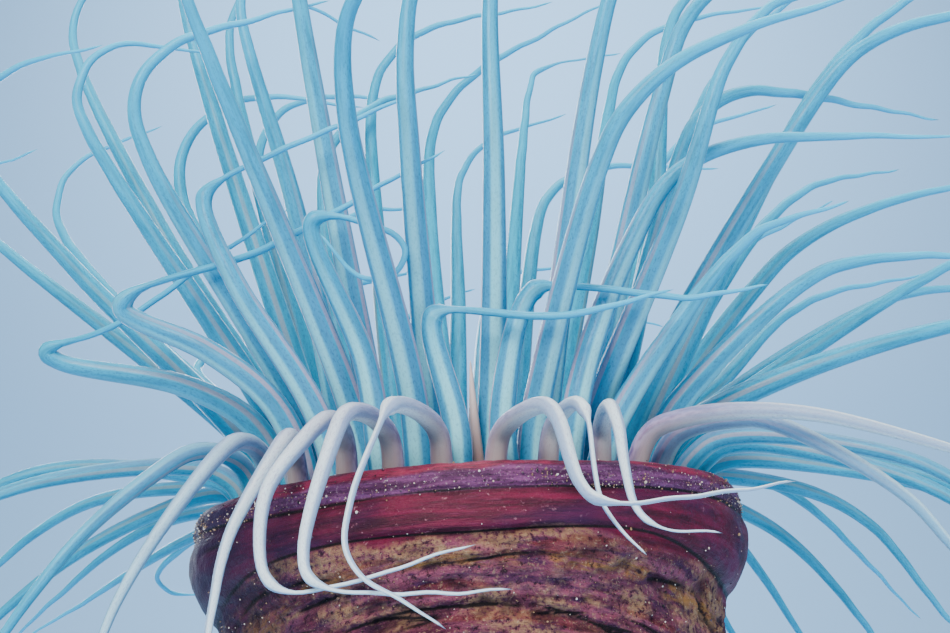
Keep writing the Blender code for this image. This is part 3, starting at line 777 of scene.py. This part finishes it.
# fine grey-blue specks of pigment, most of them on the shoulders
specks = ranged(noise_at(speckled, 3.4, 3.0, 0.65), 0.50, 0.66)
speckling = product(specks, ranged(shoulders, 0.0, 1.0, 0.25, 0.6))
body = painted(
    mixed(in_front, deep, milky),
    (product(streak, 0.55), "#007696"),
    (product(milk, 0.45), "#2cb8dc"),
    (axis, mixed(in_front, "#1abad8", "#90dce6")),
    (shaded, mixed(in_front, "#0c88ac", "#4488b4")),
    # painted rim light along the sides
    (painted_rim_line, mixed(in_front, "#8a9a98", "#b79fba")),
    (speckling, "#35688e"),
    # the thin ends are a watery blue
    (ranged(along, 0.5, 0.95, 0.0, 0.75), "#38bce4"),
)

# the hanging ones in front: lilac where they arch, beige brown under the arch as painted shade, white
# further on
hanging = product(outermost, ranged(front, 0.3, 0.75), 0.92)
near_root = ranged(along, 0.46, 0.12)
mottle = ranged(noise_at(speckled, 0.9, 3.0), 0.35, 0.65)
lilac = mixed(mottle, "#a994bc", "#755589")
# lilac on top of the arch, painted shade in beige brown on its underside
arch = mixed(ranged(oral, -1.0, 0.4), "#a08a8a", lilac)
pale_rest = mixed(ranged(facing, 0.5, 0.85), "#9db2cc", "#dcebf0")
pale_rest = mixed(product(specks, 0.5), pale_rest, "#8c86ae")
# the outer row at the sides keeps a lavender bloom on top
bloom = product(outermost, ranged(oral, -0.1, 0.8), ranged(along, 0.7, 0.1), 0.45)
near_crown = product(ranged(length_mm, 10.0, 0.5), ranged(outermost, 0.0, 1.0, 0.4, 0.55))
body = painted(
    body,
    (hanging, mixed(near_root, pale_rest, arch)),
    (bloom, "#7f7fa8"),
    # the young one, the crown, the disc and the labial ones are brownish to rose
    (young, mixed(ranged(along, 0.0, 0.9), "#b07a68", "#d8c4c0")),
    (near_crown, "#7f6f72"),
    (disc, mixed(mottle, "#a77f86", "#c9aeb2")),
    (ranged(row, 3.4, 3.6), mixed(ranged(along, 0.0, 0.8), "#8f5f78", "#cdb7cb")),
)

height = computed("ADD", product(noise_at(streaky, 2.2, 3.0), 0.7),
                  product(noise_at(speckled, 3.5, 2.0), 0.3))
bump = add_node(skin, "Bump", Strength=0.35, Distance=0.12 * MM, Height=height)
gloss = ranged(noise_at(streaky, 1.7, 2.0), 0.3, 0.7, 0.26, 0.40)
feed(skin_shader, Base_Color=body, Roughness=gloss, Normal=bump.outputs[0],
     IOR=1.40, Specular_IOR_Level=0.22,
     Subsurface_Weight=0.3, Subsurface_Radius=(0.55, 1.0, 1.2), Subsurface_Scale=0.7 * MM,
     Sheen_Weight=0.3, Sheen_Roughness=0.18, Sheen_Tint=linear("#e9d6ec"))
flesh_object = finished(flesh, "flesh_skin", skin_material)
flesh_nodes = [n for n in nodes if not n.startswith("tube_")]
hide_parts(*flesh_nodes)

# %% [markdown]
# ## The felt tube
#
# The animal weaves its tube from spent stinging threads and mucus: a tough felt like wet leather.
# Its lip rolls outwards and is deep maroon with a thin crimson edge. Lines of growth run round
# it as creases. Below the lip the older felt is rough, brown and ochre, with sand worked into it.
# A profile is spun round the axis, and every point is then pushed in or out by its crease,
# wrinkle and lump, so the folds are real and not only painted.

# %% The profile of the felt
TUBE_RADIUS, FOOT_RADIUS, FOOT_HEIGHT, WAIST = 37.4, 43.0, 34, 0.6
FOLD_DEPTH, FOLD_PITCH, OUT_OF_ROUND, RIM_HEIGHT = 0.8, 21.0, 0.014, 170.0
# steps along the profile in mm: on the wall, on the lip and inside, and round the tube
FINE_FROM, WALL_STEP, LIP_STEP, INSIDE_STEP, AROUND_STEPS = 143.0, 1.9, 0.33, 1.0, 400
LIP_OUTSIDE = ((37.8, 146.0), (38.2, 150.0), (39.6, 153.2), (41.9, 156.8), (43.2, 160.8), (43.2, 163.4),
               (42.6, 165.4), (42.4, 167.0), (42.1, 168.7), (41.0, 169.8), (39.8, 169.9), (38.7, 169.0))
LIP_INSIDE = ((37.6, 167.0), (36.9, 163.6), (36.7, 157.0), (35.6, 150.0))
BORE = ((35.2, 140.0), (35.2, 44.0), (34.6, 22.0), (17.5, 4.4), (0.0, 4.2))


def outside_radius(height):
    """The foot spreads, and the tube narrows a little halfway up."""
    foot = (FOOT_RADIUS - TUBE_RADIUS) * (1 - ease(height / FOOT_HEIGHT))
    return TUBE_RADIUS + foot - WAIST * np.sin(math.pi * ease((height - 20) / 130))


def stepped(points, step):
    """Points at even steps along a smooth curve through the given ones."""
    curve = curve_through(np.array([(r, h, 0.0) for r, h in points]))
    length = lengths_along(curve)[-1]
    return at_lengths(curve, np.linspace(0, length, max(2, round(length / step) + 1)))[:, :2]


low_heights = np.arange(0, FINE_FROM, WALL_STEP)
wall = np.stack([outside_radius(low_heights), low_heights], axis=1)
lip = stepped(((outside_radius(FINE_FROM), FINE_FROM),) + LIP_OUTSIDE, LIP_STEP)
inner = stepped((LIP_OUTSIDE[-1],) + LIP_INSIDE, INSIDE_STEP)[1:]
profile = np.vstack([[[0, 0], [22, 0]], wall, lip, inner, BORE])
outside_count = 2 + len(wall) + len(lip)
print("profile points:", len(profile))

# %% Spin it
felt = bmesh.new()
PLACE = felt.verts.layers.float.new("place")
line = [felt.verts.new((r, 0, h)) for r, h in profile]
for number, vertex in enumerate(line):
    vertex[PLACE] = number
line_edges = [felt.edges.new(pair) for pair in zip(line, line[1:])]
bmesh.ops.spin(felt, geom=line + line_edges, cent=(0, 0, 0), axis=(0, 0, 1), angle=2 * math.pi,
               steps=AROUND_STEPS, use_merge=True)
poles = [v for v in felt.verts if math.hypot(v.co.x, v.co.y) < 0.001]
bmesh.ops.remove_doubles(felt, verts=poles, dist=0.001)
print("felt:", len(felt.verts), "points; open borders:", open_edges(felt))

# %% Folds, creases and lumps
# Each crease: its height, depth, half width, how far it wanders, the bearing where it is deepest
# and how much of its depth it keeps on the far side.
CREASES = (
    (165.9, 0.60, 0.30, 0.4, 20, 0.7),
    (160.4, 1.20, 0.45, 1.0, 60, 0.45),
    (157.8, 0.60, 0.40, 2.2, -50, 0.5),
    (163.4, 0.25, 0.30, 0.8, -60, 0.3),
    (155.0, 0.80, 0.45, 2.6, 20, 0.6),
    (152.6, 0.70, 0.40, 2.6, 90, 0.6),
    (150.8, 0.70, 0.45, 2.6, -70, 0.6),
    (148.4, 0.70, 0.50, 2.8, 40, 0.6),
    (145.6, 0.70, 0.50, 2.8, -20, 0.6),
)
# The first two run right round, the others fade in and out. For each kind: its usual share of the
# depth, how much that varies, and how fast.
UNBROKEN_COUNT, UNBROKEN, BROKEN = 2, (0.8, 0.4, 2.3), (0.35, 1.3, 3.3)
# from how near a crease is recorded for the colours, and how near it gets its line of painted shade, in mm
CREASE_REACH, LINE_REACH = 0.95, 0.6
ROUGH_BELOW, SMOOTH_ABOVE = 157.0, 162.0
WRINKLE, LUMP, GRAIN = 0.55, 0.60, 0.26


def wander(b, seed):
    """A slow random wave round the tube, about -1 to 1."""
    return 2 * noise.noise((1.3 * math.cos(b) + seed, 1.3 * math.sin(b) - seed, seed * 0.7))


# The lip rolls out further at the sides, so its folds sink towards both of them: more on the way
# down, but never by more than SIDE_SINK times SINK_REACH.
FOLDS_FROM, SIDE_SINK, SINK_REACH = 166.0, 0.66, 26.0


def fold_height(b, h):
    """The height at which the fold that passes through a place lies in front."""
    if h > FOLDS_FROM:
        return h
    below = SINK_REACH * math.tanh((FOLDS_FROM - h) / SINK_REACH)
    return h + SIDE_SINK * math.sin(b) ** 2 * below


def noise_place(b, h, around, upward):
    """Where the noise is read: how often it changes round the tube, and how often in a mm up it."""
    return math.cos(b) * around, math.sin(b) * around, h * upward


def felt_offset(b, h):
    """How far the felt stands out in mm, with and without its folds, and the nearest crease."""
    fold = FOLD_DEPTH * math.sin(2 * math.pi * h / FOLD_PITCH + 1.5 * math.sin(b + 1))
    fold *= ease(h / 20) * ease((RIM_HEIGHT - 14 - h) / 10) * (0.9 + 0.3 * wander(1.6 * b + h / 23, 40))
    h = fold_height(b, h)
    cut, nearest, depth_here = 0.0, CREASE_REACH, 0.0
    for number, (height, depth, width, wandering, bearing, far_share) in enumerate(CREASES):
        line_height = height + wandering * wander(b, 3.1 * number + 1)
        above = (h - line_height) / width
        if above > 3 or above < -9:
            continue
        here = far_share + (1 - far_share) * (0.5 + 0.5 * math.cos(b - math.radians(bearing)))
        usual, varying, pace = UNBROKEN if number < UNBROKEN_COUNT else BROKEN
        here *= usual + varying * wander(pace * b, number + 20)
        shape = math.exp(-above * above) if above > 0 else math.exp(above / 2.5)
        cut += depth * max(here, 0) * shape
        if abs(h - line_height) < abs(nearest):
            nearest = h - line_height
            depth_here = depth * max(here, 0) * max(0.0, 1 - abs(nearest) / LINE_REACH)
    rough = 1 - ease((h - ROUGH_BELOW) / (SMOOTH_ABOVE - ROUGH_BELOW))
    long_wrinkle = 1 - 2 * abs(noise.fractal(noise_place(b, h, 4.4, 0.42), 0.9, 2.1, 4))
    wrinkle = WRINKLE * (long_wrinkle - 0.6) * (0.22 + 0.78 * rough)
    lump = LUMP * noise.fractal(noise_place(b, h, 14, 0.36), 0.8, 2.2, 4) * (0.10 + 0.90 * rough)
    grain = GRAIN * noise.noise(noise_place(b, h, 46, 1.1)) * (0.25 + 0.75 * rough)
    relief = wrinkle + lump + grain - cut
    return fold + relief, relief, nearest, depth_here


LINE, OVER_CREASE, CREASE_DEPTH, STAND_OUT = (
    felt.verts.layers.float.new(name) for name in ("line_mm", "over_crease", "crease_depth", "stand_out"))
slope = np.gradient(profile, axis=0)
slope /= np.maximum(np.linalg.norm(slope, axis=1), 1e-6)[:, None]
for vertex in felt.verts:
    r, h, place = math.hypot(vertex.co.x, vertex.co.y), vertex.co.z, round(vertex[PLACE])
    b = math.atan2(vertex.co.x, -vertex.co.y)
    vertex[LINE] = fold_height(b, h)
    if r < 1 or h < 0.01:
        continue
    if place < outside_count:
        offset, relief, nearest, depth_here = felt_offset(b, h)
    else:
        offset, relief, nearest, depth_here = 0.0, 0.0, CREASE_REACH, 0.0
    # the relief fades at the foot and at the lip's end
    fade = float(ease(h / 3)) * (1 if place < outside_count - 4 else max(0.0, (outside_count - place) / 5))
    oval = OUT_OF_ROUND * (math.sin(2 * b + 0.6) + 0.5 * math.sin(3 * b + h / 30))
    oval *= 1 - ease((h - 100) / 60)
    out = r * (1 + oval) + offset * fade * slope[place][1]
    vertex.co.x *= out / r
    vertex.co.y *= out / r
    vertex.co.z -= offset * fade * slope[place][0]
    vertex[OVER_CREASE] = nearest
    vertex[CREASE_DEPTH] = depth_here * fade
    vertex[STAND_OUT] = relief * fade
lean_over(felt)

# %% The felt's material
felt_material, web, felt_shader = new_material("wet_leathery_felt")
line_mm, stand_out, over_crease, crease_depth = (
    stored(web, name) for name in ("line_mm", "stand_out", "over_crease", "crease_depth"))
object_place = add_node(web, "TexCoord").outputs["Object"]
across, inwards, _ = add_node(web, "SeparateXYZ", Vector=object_place).outputs


def felt_noise(around, upward, detail, roughness=0.5):
    """Noise whose grain has this size in mm round the tube and up along the felt's folds."""
    x, y = (product(side, 1000 / around) for side in (across, inwards))
    where = add_node(web, "CombineXYZ", X=x, Y=y, Z=product(line_mm, 1 / upward))
    return noise_at(where.outputs[0], 1.0, detail, roughness)


band = computed("ADD", line_mm, ranged(felt_noise(14, 9, 3.0), 0.2, 0.8, -1.1, 1.1))
long_streaks = felt_noise(11, 1.1, 5.0, 0.6)
fine_streaks = felt_noise(3.2, 0.42, 4.0, 0.6)
patches = felt_noise(9, 4, 4.0, 0.58)
crumbs = felt_noise(0.9, 0.7, 4.0, 0.7)
gravel = felt_noise(0.45, 0.4, 3.0, 0.7)

# old felt below the lip: pink to plum, with tan, ochre and rust worked in along the folds
plum = ranged(felt_noise(7, 1.1, 4.0), 0.52, 0.62)
tan = product(ranged(patches, 0.44, 0.60), ranged(crumbs, 0.38, 0.56), 0.85)
ridge = ranged(computed("ABSOLUTE", computed("SUBTRACT", band, 156.6)), 1.6, 0.3)
ochre = product(ridge, ranged(fine_streaks, 0.36, 0.60), ranged(patches, 0.35, 0.5), 0.85)
rust = ranged(felt_noise(15, 1.8, 4.0), 0.55, 0.65)
old_felt = painted(
    mixed(ranged(long_streaks, 0.38, 0.62), "#521b35", "#8e4860"),
    (product(plum, 0.75), "#401842"),
    (tan, "#ab8460"),
    (ochre, "#9c6c34"),
    (product(rust, 0.55), "#742c24"),
    (ranged(crumbs, 0.57, 0.68, 0.0, 0.6), "#b09070"),
    (ranged(crumbs, 0.45, 0.33, 0.0, 0.9), "#1c0914"),
    (ranged(gravel, 0.60, 0.70, 0.0, 0.55), "#c2a888"),
    (ranged(gravel, 0.42, 0.30, 0.0, 0.75), "#210c18"),
)
# young felt of the lip: wine red, smooth, streaked along the folds
violet = ranged(felt_noise(20, 8, 2.0), 0.5, 0.7)
wine = painted(
    mixed(ranged(long_streaks, 0.34, 0.68), "#34021a", "#6c0c34"),
    (ranged(fine_streaks, 0.54, 0.74, 0.0, 0.4), "#7c2850"),
    (product(ranged(crumbs, 0.60, 0.68), ranged(patches, 0.46, 0.6)), "#9a6270"),
    (product(violet, 0.55), "#2f1044"),
)
# a dusty purple band under the edge, and the crimson edge
dusty = painted(
    mixed(ranged(long_streaks, 0.40, 0.66), "#41133c", "#7a4070"),
    (ranged(gravel, 0.58, 0.66, 0.0, 0.45), "#a8909c"),
    (ranged(gravel, 0.44, 0.34, 0.0, 0.75), "#1c0d1c"),
)
edge = mixed(ranged(fine_streaks, 0.36, 0.64), "#4e0726", "#861a3e")
# the left side is darker and the ridges paler; the sunken felt below the lip is darker and the creases
# nearly black, both painted shade
left_side = product(ranged(across, -14 * MM, -42 * MM), ranged(band, 150.0, 158.0), 0.8)
below_lip = ranged(band, 160.5, 158.5)
from_line = computed("ABSOLUTE", over_crease)
# painted shade along the creases
crease_shade = product(ranged(from_line, 0.30, 0.06), ranged(crease_depth, 0.08, 0.4), 0.96)
felt_colour = painted(
    mixed(ranged(band, 159.4, 160.6), old_felt, wine),
    (ranged(line_mm, 165.7, 166.1), dusty),
    (ranged(band, 168.2, 169.0), edge),
    (left_side, "#1d0b2c"),
    (product(ranged(stand_out, 0.25, 0.8, 0.0, 0.3), below_lip), "#b08a78"),
    # painted shade in the sunken felt below the lip
    (product(ranged(stand_out, -0.2, -0.8, 0.0, 0.6), below_lip), "#230b1a"),
    # nearly black painted shade in the creases
    (crease_shade, "#0a0408"),
)

fibre = felt_noise(2.4, 0.22, 3.0, 0.6)
old_share = ranged(band, 161.5, 158.5)
roughly = ranged(old_share, 0.0, 1.0, 0.22, 1.0)
height = computed("ADD", product(fibre, 0.25), product(crumbs, roughly, 1.2))
height = computed("ADD", height, product(gravel, roughly, 0.6))
bump = add_node(web, "Bump", Strength=1.0, Distance=0.9 * MM, Height=height)
shine = ranged(felt_noise(6, 2, 3.0), 0.3, 0.7, -0.07, 0.07)
shine = computed("ADD", shine, ranged(old_share, 0.0, 1.0, 0.50, 0.74))
feed(felt_shader, Base_Color=felt_colour, Roughness=shine, Normal=bump.outputs[0],
     Specular_IOR_Level=0.26,
     Sheen_Weight=0.04, Sheen_Roughness=0.4, Sheen_Tint=linear("#b58aa8"))
felt_object = finished(felt, "felt_skin", felt_material)
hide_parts("tube_sole", "tube_foot", "tube_lower", "tube_upper", "tube_lip")

# %% [markdown]
# ## Sand on the felt
#
# Grains of sand and shell stick in the felt: thickly in the dusty band under the edge, thinly on
# the smooth lip, and in drifts on the old felt. Each grain is a small crumb with its own size,
# stretch and turn, half sunk in a face of the felt. Faces are drawn by lot, the larger their
# share of sand the more often, and a number on each grain gives it its colour.

# %% Scatter the grains
GRAIN_COUNT, GRAIN_BATCH, GRAIN_RADIUS = 7200, 60, (0.06, 0.15)
GRAIN_SIZES, SIZE_SHARES, GRAIN_STRETCH = (0.7, 1.0, 1.6), (0.4, 0.5, 0.1), (0.6, 1.2)
# how much sand lies at each height of the felt's folds, and the radius within which none does
SAND_HEIGHTS = (0, 8, 60, 120, 140, 157, 160.5, 162, 165.2, 166, 168, 169.2, 170)
SAND_SHARES = (0.5, 0.15, 0.1, 0.2, 0.9, 1.3, 0.8, 0.25, 0.3, 14.0, 11.0, 2.0, 0.6)
BARE_RADIUS = 37.0
grain_chance = np.random.default_rng(5)
faces = felt_object.data.polygons
centres = np.array([face.center for face in faces]) / MM
normals = np.array([face.normal for face in faces])
lines = felt_object.data.attributes["line_mm"].data
face_line = [lines[min(face.vertices)].value for face in faces]
share = np.interp(face_line, SAND_HEIGHTS, SAND_SHARES)
drift = np.array([noise.noise((c[0] * 0.16, c[1] * 0.16, c[2] * 0.3)) for c in centres.tolist()])
share *= np.clip(0.55 + 1.8 * drift, 0.2, 1.5)
from_axis = np.hypot(centres[:, 0] - np.interp(centres[:, 2], axis_height, axis_x), centres[:, 1])
share[(from_axis < BARE_RADIUS) | (centres[:, 2] < 1.0)] = 0
share *= [face.area for face in faces]
picked = grain_chance.choice(len(faces), GRAIN_COUNT, p=share / share.sum())
sand, batch_mesh = bmesh.new(), bpy.data.meshes.new("grain_batch")
for start in range(0, GRAIN_COUNT, GRAIN_BATCH):
    batch = bmesh.new()
    grain_layer = batch.verts.layers.float.new("grain")
    for face in picked[start:start + GRAIN_BATCH]:
        size = grain_chance.uniform(*GRAIN_RADIUS) * grain_chance.choice(GRAIN_SIZES, p=SIZE_SHARES)
        stretch = Matrix.Diagonal((*grain_chance.uniform(*GRAIN_STRETCH, 3), 1))
        turn = Euler(grain_chance.uniform(*ANY_PHASE, 3)).to_matrix().to_4x4()
        spot = centres[face] + normals[face] * size * 0.25 + grain_chance.normal(0, 0.1, 3)
        place = Matrix.Translation(Vector(spot)) @ turn @ stretch
        made = bmesh.ops.create_icosphere(batch, subdivisions=1, radius=float(size), matrix=place)
        lot = float(grain_chance.random())
        for vertex in made["verts"]:
            vertex[grain_layer] = lot
    batch.to_mesh(batch_mesh)
    batch.free()
    sand.from_mesh(batch_mesh)
bpy.data.meshes.remove(batch_mesh)
print("sand:", len(sand.faces), "faces")

# %% The sand's material
sand_material, sand_tree, sand_shader = new_material("shell_sand_grains")
tones = add_node(sand_tree, "ValToRGB", Fac=stored(sand_tree, "grain"))
ramp = tones.color_ramp
ramp.interpolation = "CONSTANT"
TONES = ((0.0, "#c9b9a6"), (0.2, "#a3845f"), (0.42, "#7d5f4c"),
         (0.6, "#e6ddd2"), (0.7, "#4f3344"), (0.84, "#140c14"))
for number, (place, tone) in enumerate(TONES):
    stop = ramp.elements[number] if number < 2 else ramp.elements.new(place)
    stop.position, stop.color = place, linear(tone)
feed(sand_shader, Base_Color=tones.outputs[0], Roughness=0.3, Specular_IOR_Level=0.6)
sand_object = finished(sand, "sand_grains", sand_material)
for polygon in sand_object.data.polygons:
    polygon.use_smooth = False

# %% The last line
bpy.context.view_layer.update()
